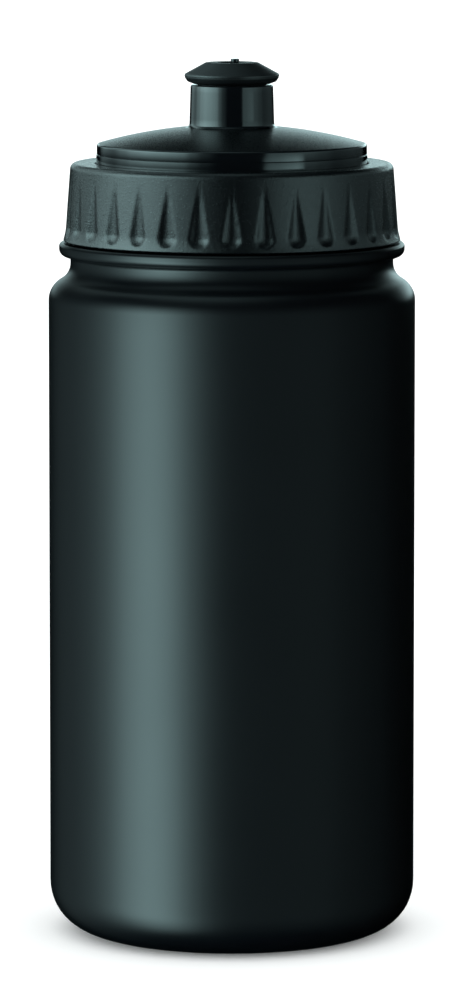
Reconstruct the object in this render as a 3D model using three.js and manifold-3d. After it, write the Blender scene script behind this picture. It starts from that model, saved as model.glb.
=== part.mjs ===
// Sports squeeze bottle: a soft blow-moulded bottle, a screw collar that clamps a domed lid onto the
// bottle's mouth over a flat seal ring, and a push-pull mouthpiece that slides in the lid's stem.
// Millimetres, +Z up. The origin is the centre of the base, on the surface the bottle stands on.
// Every outline is a list of corners [radius, height, rounding], turned about +Z.

import * as THREE from 'three';
import { mergeVertices } from 'three/addons/utils/BufferGeometryUtils.js';
import Module from 'manifold-3d';

const wasm = await Module();
wasm.setup();

// ---------------------------------------------------------------- driving dimensions

// Bottle
const bodyRadius = 36.5;
const bodyDraft = 0.13;
const shoulderHeight = 128.9;
const shoulderSlope = THREE.MathUtils.degToRad(32);
const shoulderRounding = 4.7;
const baseRounding = 9.7;
const standingRingWidth = 3.5;
const standingRingRounding = 1.2;
const pushUpHeight = 4.5;
const pushUpSlope = 5;
const pushUpRounding = 3;
const bottleWall = 1.3;
const baseWall = 1.7;

// Neck
const neckRadius = 29.3;
const neckWall = 1.4;
const waistDepth = 2.68;
const waistHeight = 3.5;
const waistRounding = 3.76;
const beadStand = 4.92;
const beadHeight = 2.62;
const beadRounding = 1.6;
const beadTopRounding = 0.7;
const beadRootRounding = 1;
const lipRounding = 0.4;
const neckRootRounding = 0.5;

// Screw thread: one right-hand start
const threadPitch = 6;
const threadTurns = 1.25;
const threadRelief = 1.3;
const threadRootWidth = 2.3;
const threadCrestWidth = 1.1;
const threadRunOut = 0.12;
const threadLipLand = 2.1;
const threadBeadLand = 1.95;
const threadSkirtLand = 1.5;

// Collar
const collarWall = 1;
const collarDraft = 0.0765;
const collarLip = 1.5;
const collarEdgeRounding = 1.2;
const skirtFlare = 0.36;
const skirtFlareHeight = 3.2;
const gripCount = 32;
const gripBottomLand = 0.95;
const gripTopLand = 2.3;
const gripBallRadius = 3;
const gripDepth = 0.65;

// Lid
const lidWall = 1.35;
const lidFlange = 1.4;
const discInset = 2.5;
const discLowerHeight = 1.7;
const discUpperHeight = 2;
const discStep = 0.1;
const discGroove = 0.2;
const discEdgeRounding = 0.4;
const domeRise = 3.74;
const plugDepth = 4;
const plugWall = 1.3;
const sealThickness = 0.9;

// Stem, closing pin and mouthpiece
const stemTopRadius = 8.15;
const stemDraft = 0.25;
const stemHeight = 8.31;
const stemFootFillet = 0.8;
const stemRimRounding = 0.35;
const stemWall = 1;
const stemLip = 0.4;
const stemLipHeight = 1.2;
const pinShankRadius = 1.9;
const pinTipRadius = 2.4;
const pinTipHeight = 3;
const pinTopRecess = 0.25;
const pinNubRadius = 0.83;
const pinNubHeight = 0.95;
const pinNubOffset = 0.6;
const spokeCount = 3;
const spokeWidth = 1.6;
const spokeHeight = 2;
const headOverhang = 1.2;
const headCrownRadius = 5.1;
const headCrownRounding = 0.8;
const headRimDrop = 0.5;
const headRimRise = 0.4;
const headLowerRounding = 0.8;
const headUpperRounding = 0.5;
const headHeight = 4.2;
const headRimHeight = 1.55;
const headSeatWidth = 0.4;
const headTopThickness = 2.4;
const nozzleWall = 1.4;
const nozzleFootGap = 0.85;
const nozzleBeadHeight = 1.2;

// Small edges, and clearances
const edgeRounding = 0.3;
const threadClearance = 0.3;
const flankClearance = 0.3;
const runningClearance = 0.3;
const slidingClearance = 0.25;
const seatClearance = 0.1;
const lipClearance = 0.2;

// Facets round a full turn, and the largest turn of one step along a rounded corner. An edge that
// is rounded by less than smallRounding becomes a single bevel.
const bottleFacets = 48;
const facetsPerGrip = 2;
const stemFacets = 28;
const pinFacets = 12;
const cutterFacets = 16;
const arcStep = THREE.MathUtils.degToRad(30);
const smallRounding = 1.5;

// ---------------------------------------------------------------- heights and radii that follow

const bodyTopRadius = bodyRadius - bodyDraft;
const standingRingRadius = bodyRadius - baseRounding - standingRingWidth;
const pushUpRadius = standingRingRadius - pushUpSlope;
const waistRadius = neckRadius + waistDepth;
const waistBottom = shoulderHeight + (bodyTopRadius - waistRadius) * Math.tan(shoulderSlope);
const beadBottom = waistBottom + waistHeight;
const beadTop = beadBottom + beadHeight;
const beadRadius = neckRadius + beadStand;
const lipTop = beadTop + threadBeadLand + threadTurns * threadPitch + threadLipLand;
const neckBore = neckRadius - neckWall;
const threadCrest = neckRadius + threadRelief;

const collarBore = threadCrest + threadClearance;
const collarThreadCrest = neckRadius + threadClearance;
const collarBottom = beadTop + runningClearance;
const sealBottom = lipTop + seatClearance;
const sealTop = sealBottom + sealThickness;
const flangeBottom = sealTop + seatClearance;
const flangeTop = flangeBottom + lidFlange;
const collarLipBottom = flangeTop + lipClearance;
const collarTop = collarLipBottom + collarLip;
const flangeRadius = collarBore - runningClearance;

const discRadius = neckRadius - discInset;
const collarOpening = discRadius + runningClearance;
const collarFacets = gripCount * facetsPerGrip;
const stepHeight = collarTop + discLowerHeight;
const discTop = stepHeight + discUpperHeight;
const upperDiscRadius = discRadius - discStep;
const domeTop = discTop + domeRise;
const domeSphere = (upperDiscRadius ** 2 + domeRise ** 2) / (2 * domeRise);
const plugRadius = neckBore - runningClearance;
const discBore = upperDiscRadius - lidWall;

const stemFootRadius = stemTopRadius + stemDraft;
const stemBore = stemTopRadius - stemWall;
const stemFoot = domeHeightAt(stemFootRadius);
const stemTop = stemFoot + stemHeight;
const spokeTop = stemFoot;
const headBottom = stemTop + lipClearance;
const headTop = headBottom + headHeight;
const headRadius = stemTopRadius + headOverhang;
const headSeatRadius = stemBore + headSeatWidth;
const nozzleRadius = stemBore - stemLip - slidingClearance;
const nozzleBeadRadius = stemBore - lipClearance;
const nozzleBottom = spokeTop + nozzleFootGap;
const pinHole = pinTipRadius + slidingClearance;

function domeHeightAt(radius) {
  return domeTop - domeSphere + Math.sqrt(domeSphere ** 2 - radius ** 2);
}

function collarOuterAt(height) {
  const baseRadius = collarBore + collarWall;
  const flare = Math.max(0, 1 - (height - collarBottom) / skirtFlareHeight);
  return baseRadius + (collarTop - height) * collarDraft + skirtFlare * flare ** 2;
}

// ---------------------------------------------------------------- shapes

// Corners become points: each rounding is an arc tangent to both of its edges. Where two arcs
// would run into each other along an edge, both shrink to share it.
function outline(corners) {
  const at = corners.map(([radius, height]) => new THREE.Vector2(radius, height));
  const cutBack = corners.map(([, , rounding = 0], index) => {
    if (!rounding) return 0;
    return rounding * Math.tan(turnAt(at, index) / 2);
  });
  for (let index = 0; index + 1 < at.length; index += 1) {
    const edge = at[index].distanceTo(at[index + 1]);
    const wanted = cutBack[index] + cutBack[index + 1];
    if (wanted > edge) {
      cutBack[index] *= edge / wanted;
      cutBack[index + 1] *= edge / wanted;
    }
  }
  return at.flatMap((corner, index) => {
    if (!cutBack[index]) return [corner];
    return roundedCorner(at[index - 1], corner, at[index + 1], cutBack[index], turnAt(at, index));
  });
}

function turnAt(points, index) {
  const arriving = points[index].clone().sub(points[index - 1]);
  const leaving = points[index + 1].clone().sub(points[index]);
  return Math.acos(arriving.normalize().dot(leaving.normalize()));
}

function roundedCorner(before, corner, after, cutBack, turn) {
  const start = corner.clone().add(before.clone().sub(corner).setLength(cutBack));
  const end = corner.clone().add(after.clone().sub(corner).setLength(cutBack));
  const towardsCentre = start.clone().add(end).multiplyScalar(0.5).sub(corner);
  const radius = cutBack / Math.tan(turn / 2);
  const centre = corner.clone().add(towardsCentre.setLength(radius / Math.cos(turn / 2)));
  const steps = radius < smallRounding ? 1 : Math.ceil(turn / arcStep);
  const sweep = start.clone().sub(centre).cross(end.clone().sub(centre)) > 0 ? turn : -turn;
  const points = [];
  for (let step = 0; step <= steps; step += 1) {
    points.push(start.clone().rotateAround(centre, (sweep * step) / steps));
  }
  return points;
}

function closedSurface(geometry) {
  geometry.deleteAttribute('normal');
  geometry.deleteAttribute('uv');
  const merged = mergeVertices(geometry, 1e-4);
  const corners = merged.index.array;
  const kept = [];
  for (let first = 0; first < corners.length; first += 3) {
    const [a, b, c] = corners.slice(first, first + 3);
    if (a !== b && b !== c && c !== a) kept.push(a, b, c);
  }
  merged.setIndex(kept);
  return merged;
}

// A lathe turns its outline about +Y, so the surface is then stood up on +Z.
function turned(points, facets) {
  const geometry = new THREE.LatheGeometry(points, facets);
  geometry.rotateX(Math.PI / 2);
  return closedSurface(geometry);
}

function ring(corners, facets) {
  const points = outline(corners);
  points.push(points[0].clone());
  return turned(points, facets);
}

function solidOf(geometry) {
  const vertProperties = new Float32Array(geometry.attributes.position.array);
  const triVerts = new Uint32Array(geometry.index.array);
  return new wasm.Manifold(new wasm.Mesh({ numProp: 3, vertProperties, triVerts }));
}

function geometryOf(solid) {
  const mesh = solid.getMesh();
  const geometry = new THREE.BufferGeometry();
  geometry.setAttribute('position', new THREE.BufferAttribute(mesh.vertProperties, 3));
  geometry.setIndex(new THREE.BufferAttribute(mesh.triVerts, 1));
  return geometry;
}

// A trapezoid section carried up a right-hand helix, which passes startHeight after startTurn
// turns from +X. Its root is buried in a wall and its crest stands proud of it, inwards or
// outwards; at both ends the crest sinks back into the wall.
function helicalRidge({ root, crest, startHeight, startTurn, facets }) {
  const steps = Math.round(threadTurns * facets);
  const runOut = threadRunOut * facets;
  const positions = [];
  for (let step = 0; step <= steps; step += 1) {
    const angle = 2 * Math.PI * (startTurn + step / facets);
    const middle = startHeight + (threadPitch * step) / facets;
    const proud = Math.min(1, (Math.min(step, steps - step) + 0.2) / runOut);
    const crestHere = root + (crest - root) * proud;
    const section = [
      [root, -threadRootWidth / 2],
      [crestHere, -threadCrestWidth / 2],
      [crestHere, threadCrestWidth / 2],
      [root, threadRootWidth / 2],
    ];
    for (const [radius, rise] of section) {
      positions.push(radius * Math.cos(angle), radius * Math.sin(angle), middle + rise);
    }
  }
  const faces = [[0, 1, 2], [0, 2, 3]];
  for (let step = 0; step < steps; step += 1) {
    for (let side = 0; side < 4; side += 1) {
      const a = step * 4 + side;
      const b = step * 4 + ((side + 1) % 4);
      faces.push([a, a + 4, b], [b, a + 4, b + 4]);
    }
  }
  const last = steps * 4;
  faces.push([last, last + 2, last + 1], [last, last + 3, last + 2]);
  if (crest < root) faces.forEach((face) => face.reverse());
  const geometry = new THREE.BufferGeometry();
  geometry.setAttribute('position', new THREE.Float32BufferAttribute(positions, 3));
  geometry.setIndex(faces.flat());
  return geometry;
}

// ---------------------------------------------------------------- pieces

// The neck's ridge starts over +X and runs out one land below the lip. The collar's ridge lies
// under it, flank to flank, and starts where it clears the collar's bottom edge.
const neckThreadStart = lipTop - threadLipLand - threadTurns * threadPitch;
const flankOffset = (threadRootWidth + threadCrestWidth) / 2 + flankClearance;
const collarThreadStart = collarBottom + threadSkirtLand;
const collarStartTurn = (collarThreadStart - neckThreadStart + flankOffset) / threadPitch;

function bottleBody() {
  const innerBody = bodyRadius - bottleWall;
  const innerTop = bodyTopRadius - bottleWall;
  const innerWaist = waistRadius - bottleWall;
  const shoulderShift = bottleWall * Math.tan((Math.PI / 2 - shoulderSlope) / 2);
  const shell = turned(
    outline([
      [0, pushUpHeight],
      [pushUpRadius, pushUpHeight, pushUpRounding],
      [standingRingRadius, 0, standingRingRounding],
      [bodyRadius, 0, baseRounding],
      [bodyTopRadius, shoulderHeight, shoulderRounding],
      [waistRadius, waistBottom, waistRounding],
      [waistRadius, beadBottom, beadRootRounding],
      [beadRadius, beadBottom, beadRounding],
      [beadRadius, beadTop, beadTopRounding],
      [neckRadius, beadTop, neckRootRounding],
      [neckRadius, lipTop, lipRounding],
      [neckBore, lipTop, lipRounding],
      [neckBore, beadTop - bottleWall, beadRootRounding],
      [innerWaist, beadBottom, beadRootRounding],
      [innerWaist, waistBottom - shoulderShift, waistRounding],
      [innerTop, shoulderHeight - shoulderShift, shoulderRounding - bottleWall],
      [innerBody, baseWall, baseRounding - bottleWall],
      [standingRingRadius + 1, baseWall, standingRingRounding],
      [pushUpRadius + 1, pushUpHeight + baseWall, pushUpRounding],
      [0, pushUpHeight + baseWall],
    ]),
    bottleFacets,
  );
  const thread = helicalRidge({
    root: neckRadius - neckWall / 2,
    crest: threadCrest,
    startHeight: neckThreadStart,
    startTurn: 0,
    facets: bottleFacets,
  });
  return geometryOf(solidOf(shell).add(solidOf(thread)));
}

// A grip groove is cut by a ball whose tangent cone runs up to a point on the collar's wall.
function gripCutter(azimuth) {
  const ballReach = Math.sqrt(gripDepth * (2 * gripBallRadius - gripDepth));
  const ballHeight = collarBottom + gripBottomLand + ballReach;
  const pointHeight = collarTop - gripTopLand;
  const ball = new THREE.Vector3(collarOuterAt(ballHeight) + gripBallRadius - gripDepth, 0, ballHeight);
  const point = new THREE.Vector3(collarOuterAt(pointHeight), 0, pointHeight);
  const length = ball.distanceTo(point);
  const coneStart = Math.asin(gripBallRadius / length);
  const steps = 4;
  const profile = [];
  for (let step = 0; step <= steps; step += 1) {
    const angle = -Math.PI / 2 + ((coneStart + Math.PI / 2) * step) / steps;
    profile.push(new THREE.Vector2(gripBallRadius * Math.cos(angle), gripBallRadius * Math.sin(angle)));
  }
  profile[0].x = 0;
  profile.push(new THREE.Vector2(0, length));
  const cutter = turned(profile, cutterFacets);
  const lean = new THREE.Quaternion().setFromUnitVectors(
    new THREE.Vector3(0, 0, 1),
    point.clone().sub(ball).normalize(),
  );
  cutter.applyQuaternion(lean);
  cutter.translate(ball.x, ball.y, ball.z);
  cutter.rotateZ(azimuth);
  return cutter;
}

// The first grip faces the front, -Y, and the others follow at even steps round the collar.
function screwCollar() {
  const flareTop = collarBottom + skirtFlareHeight;
  const flareMiddle = collarBottom + skirtFlareHeight / 2;
  const shell = ring(
    [
      [collarBore, collarBottom],
      [collarOuterAt(collarBottom), collarBottom, edgeRounding],
      [collarOuterAt(flareMiddle), flareMiddle],
      [collarOuterAt(flareTop), flareTop],
      [collarOuterAt(collarTop), collarTop, collarEdgeRounding],
      [collarOpening, collarTop, edgeRounding],
      [collarOpening, collarLipBottom],
      [collarBore, collarLipBottom],
    ],
    collarFacets,
  );
  const thread = helicalRidge({
    root: collarBore + collarWall / 2,
    crest: collarThreadCrest,
    startHeight: collarThreadStart,
    startTurn: collarStartTurn,
    facets: collarFacets,
  });
  let collar = solidOf(shell).add(solidOf(thread));
  for (let grip = 0; grip < gripCount; grip += 1) {
    const azimuth = (2 * Math.PI * grip) / gripCount - Math.PI / 2;
    collar = collar.subtract(solidOf(gripCutter(azimuth)));
  }
  return geometryOf(collar);
}

function sealRing() {
  return ring(
    [
      [neckBore, sealBottom],
      [threadCrest - seatClearance, sealBottom],
      [threadCrest - seatClearance, sealTop],
      [neckBore, sealTop],
    ],
    bottleFacets,
  );
}

// The dome is an arc of a sphere from the disc's edge to the stem's foot; the roof under it is
// the same arc, one wall lower.
function domeArc(fromRadius, toRadius, drop) {
  const steps = 4;
  const points = [];
  for (let step = 0; step <= steps; step += 1) {
    const radius = THREE.MathUtils.lerp(fromRadius, toRadius, step / steps);
    points.push([radius, domeHeightAt(radius) - drop]);
  }
  return points;
}

function lidDisc() {
  const middleOfWall = (stemBore + stemTopRadius) / 2;
  return ring(
    [
      [plugRadius - plugWall, flangeBottom - plugDepth],
      [plugRadius, flangeBottom - plugDepth, lipRounding],
      [plugRadius, flangeBottom],
      [flangeRadius, flangeBottom],
      [flangeRadius, flangeTop],
      [discRadius, flangeTop],
      [discRadius, stepHeight],
      [upperDiscRadius - discGroove, stepHeight + discGroove / 2],
      [upperDiscRadius, stepHeight + discGroove],
      [upperDiscRadius, discTop, discEdgeRounding],
      ...domeArc(upperDiscRadius - discEdgeRounding, middleOfWall, 0),
      ...domeArc(middleOfWall, discBore - lidWall, lidWall),
      [discBore, discTop - lidWall],
      [discBore, flangeBottom],
      [plugRadius - plugWall, flangeBottom - lidWall],
    ],
    bottleFacets,
  );
}

function lidStem() {
  const lipRadius = stemBore - stemLip;
  const underDome = domeHeightAt(stemBore) - lidWall;
  const filletEdge = stemFootRadius + stemFootFillet;
  return ring(
    [
      [stemBore, underDome],
      [filletEdge, domeHeightAt(filletEdge) - lidWall / 2],
      [filletEdge, domeHeightAt(filletEdge)],
      [stemFootRadius, stemFoot, stemFootFillet],
      [stemTopRadius, stemTop, stemRimRounding],
      [lipRadius, stemTop],
      [lipRadius, stemTop - stemLipHeight],
      [stemBore, stemTop - stemLipHeight - stemLip],
    ],
    stemFacets,
  );
}

function closingPin() {
  const tipTop = headTop - pinTopRecess;
  const shankTop = tipTop - pinTipHeight;
  return turned(
    outline([
      [0, spokeTop - spokeHeight],
      [pinShankRadius, spokeTop - spokeHeight],
      [pinShankRadius, shankTop],
      [pinTipRadius, shankTop + pinTipRadius - pinShankRadius],
      [pinTipRadius, tipTop, edgeRounding],
      [0, tipTop],
    ]),
    pinFacets,
  );
}

// The moulding nub on the pin's tip is what stands highest on the closed bottle.
function pinNub() {
  const base = headTop - pinTopRecess - pinNubHeight;
  const nub = turned(
    [
      new THREE.Vector2(0, base),
      new THREE.Vector2(pinNubRadius, base),
      new THREE.Vector2(pinNubRadius, base + 2 * pinNubHeight),
      new THREE.Vector2(0, base + 2 * pinNubHeight),
    ],
    pinFacets,
  );
  nub.translate(pinNubOffset, 0, 0);
  return nub;
}

function spoke(azimuth) {
  const inner = pinShankRadius / 2;
  const outer = (stemBore + stemTopRadius) / 2;
  const bar = new THREE.BoxGeometry(outer - inner, spokeWidth, spokeHeight);
  bar.translate((outer + inner) / 2, 0, spokeTop - spokeHeight / 2);
  bar.rotateZ(azimuth);
  return closedSurface(bar);
}

function domeLid() {
  let lid = solidOf(lidDisc()).add(solidOf(lidStem()));
  lid = lid.add(solidOf(closingPin())).add(solidOf(pinNub()));
  for (let index = 0; index < spokeCount; index += 1) {
    lid = lid.add(solidOf(spoke((2 * Math.PI * index) / spokeCount + Math.PI / 2)));
  }
  return geometryOf(lid);
}

function mouthpiece() {
  const nozzleBore = nozzleRadius - nozzleWall;
  const rimMiddle = headBottom + headRimHeight;
  const beadTopHeight = nozzleBottom + nozzleBeadHeight;
  return ring(
    [
      [nozzleBore, nozzleBottom],
      [nozzleBeadRadius, nozzleBottom, edgeRounding],
      [nozzleBeadRadius, beadTopHeight],
      [nozzleRadius, beadTopHeight + nozzleBeadRadius - nozzleRadius],
      [nozzleRadius, headBottom],
      [headSeatRadius, headBottom, edgeRounding],
      [headRadius, rimMiddle - headRimDrop, headLowerRounding],
      [headRadius, rimMiddle + headRimRise, headUpperRounding],
      [headCrownRadius, headTop, headCrownRounding],
      [pinHole, headTop, edgeRounding],
      [pinHole, headTop - headTopThickness],
      [nozzleBore, headTop - headTopThickness - nozzleBore + pinHole],
    ],
    stemFacets,
  );
}

// ---------------------------------------------------------------- materials and assembly

function finish(color, roughness) {
  return new THREE.MeshStandardMaterial({ color, roughness, metalness: 0 });
}

function piece(name, geometry, material) {
  const mesh = new THREE.Mesh(geometry, material);
  mesh.name = name;
  return mesh;
}

const satinBlack = finish(0x14191b, 0.45);
const frostedGrey = finish(0x3a474a, 0.55);
const glossBlack = finish(0x0b0e10, 0.22);
const softBlack = finish(0x16191b, 0.65);
const sealGrey = finish(0x8f9694, 0.6);

const cap = new THREE.Group();
cap.add(piece('dome_lid', domeLid(), glossBlack));
cap.add(piece('seal_ring', sealRing(), sealGrey));
cap.add(piece('mouthpiece', mouthpiece(), softBlack));

const squeezeBottle = new THREE.Group();
squeezeBottle.add(piece('bottle_body', bottleBody(), satinBlack));
squeezeBottle.add(piece('screw_collar', screwCollar(), frostedGrey));
squeezeBottle.add(cap);

export default squeezeBottle;
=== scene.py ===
"""Sports squeeze bottle: the fine surfaces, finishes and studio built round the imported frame.

Every piece is a surface worked out with numpy in metres, in the frame's own axes: +Z up, the
bottle's axis on the origin, the front facing -Y. Turned pieces are an outline in radius and height,
carried once round +Z; grips, threads and moulding marks are offsets added to that grid.
"""

import math

import bpy
import numpy as np
from mathutils import Matrix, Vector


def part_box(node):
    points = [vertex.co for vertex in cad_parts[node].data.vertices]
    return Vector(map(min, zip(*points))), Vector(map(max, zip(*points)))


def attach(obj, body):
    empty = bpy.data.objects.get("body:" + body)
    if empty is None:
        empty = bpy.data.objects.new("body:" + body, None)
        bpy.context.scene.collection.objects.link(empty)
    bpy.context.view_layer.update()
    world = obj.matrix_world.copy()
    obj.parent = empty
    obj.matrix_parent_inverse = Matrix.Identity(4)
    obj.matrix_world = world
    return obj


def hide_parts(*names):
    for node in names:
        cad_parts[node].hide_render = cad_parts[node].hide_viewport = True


bl_info = {
    "name": "Squeeze Bottle",
    "version": (1, 0, 0),
    "blender": (4, 5, 0),
    "location": "View3D > Sidebar > Squeeze Bottle",
    "description": "Builds a sports squeeze bottle, its screw cap and its studio round a packed frame",
    "category": "Add Mesh",
}

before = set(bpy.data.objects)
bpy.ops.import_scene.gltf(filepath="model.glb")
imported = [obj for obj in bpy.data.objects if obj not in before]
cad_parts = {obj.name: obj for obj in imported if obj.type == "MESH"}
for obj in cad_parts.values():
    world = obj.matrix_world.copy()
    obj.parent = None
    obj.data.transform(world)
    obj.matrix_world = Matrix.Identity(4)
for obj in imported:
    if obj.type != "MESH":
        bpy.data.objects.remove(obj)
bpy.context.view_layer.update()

MM = 0.001
SAME_POINT = 1e-6 * MM
CAP_PIECES = "cap_pieces"
BODY_PIECES = "body_pieces"


def reach(node):
    """The largest radius, lowest height and highest height of a CAD node, in metres."""
    low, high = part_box(node)
    return high.x, low.z, high.z


BODY_RADIUS, _, LIP_TOP = reach("bottle_body")
_, COLLAR_BOTTOM, COLLAR_TOP = reach("screw_collar")
FLANGE_RADIUS, PLUG_BOTTOM, NUB_TOP = reach("dome_lid")
SEAL_RADIUS, SEAL_BOTTOM, SEAL_TOP = reach("seal_ring")
HEAD_RADIUS, NOZZLE_BOTTOM, HEAD_TOP = reach("mouthpiece")


# ---------------------------------------------------------------- sizes and finishes


def length(name, description, default_mm):
    """A length property: its default is given in millimetres and kept in metres."""
    return bpy.props.FloatProperty(
        name=name, description=description, default=default_mm * MM, unit="LENGTH",
        subtype="DISTANCE", precision=5,
    )


def colour(name, description, default):
    """A linear colour property."""
    return bpy.props.FloatVectorProperty(
        name=name, description=description, default=default, size=3, min=0, max=1,
        subtype="COLOR",
    )


def share(name, description, default, most=1.0):
    """A plain number property from nought to most."""
    return bpy.props.FloatProperty(
        name=name, description=description, default=default, min=0, max=most,
    )


def angle(name, description, default_degrees):
    """An angle property: its default is given in degrees and kept in radians."""
    return bpy.props.FloatProperty(
        name=name, description=description, default=math.radians(default_degrees),
        unit="ROTATION", subtype="ANGLE",
    )


class BottleSizes(bpy.types.PropertyGroup):
    """The blow-moulded bottle, from its base up to its lip."""

    skin: length("Skin", "How far the body stays inside the frame's box", 0.02)
    draft: length("Draft", "How much narrower the body is under the shoulder", 0.13)
    wall: length("Wall", "Wall thickness of the body", 1.3)
    base_wall: length("Base wall", "Wall thickness of the base", 1.7)
    base_rounding: length("Base rounding", "Radius between the wall and the standing ring", 9.7)
    ring_width: length("Ring width", "Width of the flat standing ring", 3.5)
    ring_rounding: length("Ring rounding", "Radius on the ring's inner edge", 1.2)
    push_up: length("Push-up", "Height of the pushed-up base", 4.5)
    push_up_slope: length("Push-up slope", "Width of the slope up from the ring", 5.0)
    shoulder_slope: angle("Shoulder slope", "Slope of the shoulder from level", 32.0)
    shoulder_rounding: length("Shoulder rounding", "Radius at the shoulder's outer edge", 4.7)
    waist_depth: length("Waist depth", "How far the waist stands out from the neck", 2.68)
    waist_height: length("Waist height", "From the shoulder's end up to the bead", 3.5)
    waist_rounding: length("Waist rounding", "Radius between the shoulder and the waist", 3.76)
    bead_stand: length("Bead stand", "How far the bead stands out from the neck", 4.92)
    bead_height: length("Bead height", "Height of the bead under the collar", 2.62)
    bead_rounding: length("Bead rounding", "Radius on the bead's lower edge", 1.6)
    neck_radius: length("Neck radius", "Outside radius of the neck between the threads", 29.3)
    neck_wall: length("Neck wall", "Wall thickness of the neck", 1.4)
    parting_height: length("Parting line height", "Height of the mould's parting line", 0.03)
    parting_width: length("Parting line width", "Width of the mould's parting line", 0.5)
    pinch_length: length("Pinch-off length", "Length of the pinch-off seam under the base", 30.0)


class ThreadSizes(bpy.types.PropertyGroup):
    """The single-start right-hand thread shared by the neck and the collar."""

    pitch: length("Pitch", "Rise of the thread in one turn", 6.0)
    turns: bpy.props.FloatProperty(
        name="Turns", description="Length of the ridge in turns", default=1.25, min=0.5, max=3,
    )
    relief: length("Relief", "How far the neck's ridge stands out", 1.3)
    clearance: length("Clearance", "Gap between the two threads' flanks and crests", 0.3)
    root_width: length("Root width", "Width of the ridge at its root", 2.3)
    crest_width: length("Crest width", "Width of the ridge at its crest", 1.1)
    run_out: bpy.props.FloatProperty(
        name="Run-out", description="Share of a turn in which the ridge fades out", default=0.12,
        min=0.01, max=0.5,
    )
    lip_land: length("Lip land", "From the ridge's upper end up to the lip", 2.1)
    skirt_land: length("Skirt land", "From the collar's edge up to its ridge", 1.5)


class CollarSizes(bpy.types.PropertyGroup):
    """The frosted screw collar and its teardrop grips."""

    wall: length("Wall", "Wall thickness under the lip", 1.0)
    draft: bpy.props.FloatProperty(
        name="Draft", description="How much wider the wall gets per unit of height, going down",
        default=0.0765, min=0, max=0.3,
    )
    lip: length("Lip", "Thickness of the top lip", 1.5)
    edge_rounding: length("Edge rounding", "Radius on the top outer edge", 1.2)
    fine_rounding: length("Fine rounding", "Radius on the small edges", 0.28)
    flare: length("Flare", "How far the skirt flares out at its edge", 0.36)
    flare_height: length("Flare height", "Height over which the skirt flares", 3.2)
    grips: bpy.props.IntProperty(
        name="Grips", description="Number of teardrop grips", default=32, min=4, max=90,
    )
    grip_bottom: length("Grip bottom", "From the skirt's edge up to the grip", 0.95)
    grip_top: length("Grip top", "From the collar's top down to the grip's point", 2.3)
    grip_ball: length("Grip ball", "Radius of the ball that shapes the grip", 3.0)
    grip_depth: length("Grip depth", "Depth of the grip at its round end", 0.65)
    grip_edge: length("Grip edge", "Softening of the grip's edge", 0.05)


class LidSizes(bpy.types.PropertyGroup):
    """The domed lid with its stem, plug, spokes and closing pin."""

    wall: length("Wall", "Wall thickness of the dome", 1.35)
    flange: length("Flange", "Thickness of the flange under the collar's lip", 1.4)
    disc_inset: length("Disc inset", "How far the disc stands inside the neck's outside", 2.5)
    lower_band: length("Lower band", "Height of the disc's lower band above the collar", 1.7)
    upper_band: length("Upper band", "Height of the disc's upper band", 2.0)
    step: length("Step", "Width of the step between the bands", 0.1)
    band_draft: length("Band draft", "How much wider the upper band is at its foot", 0.03)
    groove: length("Groove", "Depth of the fine groove between the bands", 0.15)
    edge_rounding: length("Edge rounding", "Radius on the disc's top edge", 0.45)
    dome_rise: length("Dome rise", "Height of the dome above its edge", 3.74)
    plug_wall: length("Plug wall", "Wall thickness of the plug", 1.3)
    stem_radius: length("Stem radius", "Outside radius at the top of the stem", 8.15)
    stem_draft: length("Stem draft", "How much wider the stem is at its foot", 0.25)
    stem_height: length("Stem height", "Height of the stem above the dome", 8.31)
    stem_fillet: length("Stem fillet", "Radius at the foot of the stem", 0.8)
    stem_wall: length("Stem wall", "Wall thickness of the stem", 1.0)
    stem_lip: length("Stem lip", "How far the stop inside the rim stands in", 0.4)
    stem_lip_height: length("Stem lip height", "Height of the stop inside the rim", 1.2)
    rim_rounding: length("Rim rounding", "Radius on the stem's rim", 0.32)
    pin_shank: length("Pin shank", "Radius of the closing pin's shank", 1.9)
    pin_tip: length("Pin tip", "Radius of the closing pin's tip", 2.4)
    pin_tip_height: length("Pin tip height", "Height of the closing pin's tip", 3.0)
    pin_recess: length("Pin recess", "How far the tip sits below the mouthpiece's top", 0.25)
    nub_radius: length("Nub radius", "Radius of the moulding nub", 0.83)
    nub_offset: length("Nub offset", "How far the nub stands off the axis", 0.6)
    spokes: bpy.props.IntProperty(
        name="Spokes", description="Number of spokes that hold the pin", default=3, min=2, max=6,
    )
    spoke_width: length("Spoke width", "Width of a spoke", 1.6)
    spoke_height: length("Spoke height", "Height of a spoke", 2.0)


class MouthpieceSizes(bpy.types.PropertyGroup):
    """The push-pull mouthpiece: a mushroom head on a sliding nozzle."""

    crown_radius: length("Crown radius", "Radius of the flat crown, out to its corner", 5.15)
    rim_height: length("Rim height", "Height of the widest line above the head's seat", 1.52)
    seat_width: length("Seat width", "Width of the seat that rests on the stem", 0.4)
    flash: length("Flash", "Height of the mould's parting flash round the rim", 0.07)
    hole_clearance: length("Hole clearance", "Gap round the closing pin's tip", 0.25)
    top_thickness: length("Top thickness", "Thickness of the head round its hole", 2.4)
    nozzle_wall: length("Nozzle wall", "Wall thickness of the nozzle", 1.4)
    stem_gap: length("Stem gap", "Gap between the nozzle and the stem's stop", 0.25)
    bead_height: length("Bead height", "Height of the stop bead at the nozzle's foot", 1.2)
    bead_gap: length("Bead gap", "Gap between the stop bead and the stem's bore", 0.2)


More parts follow.
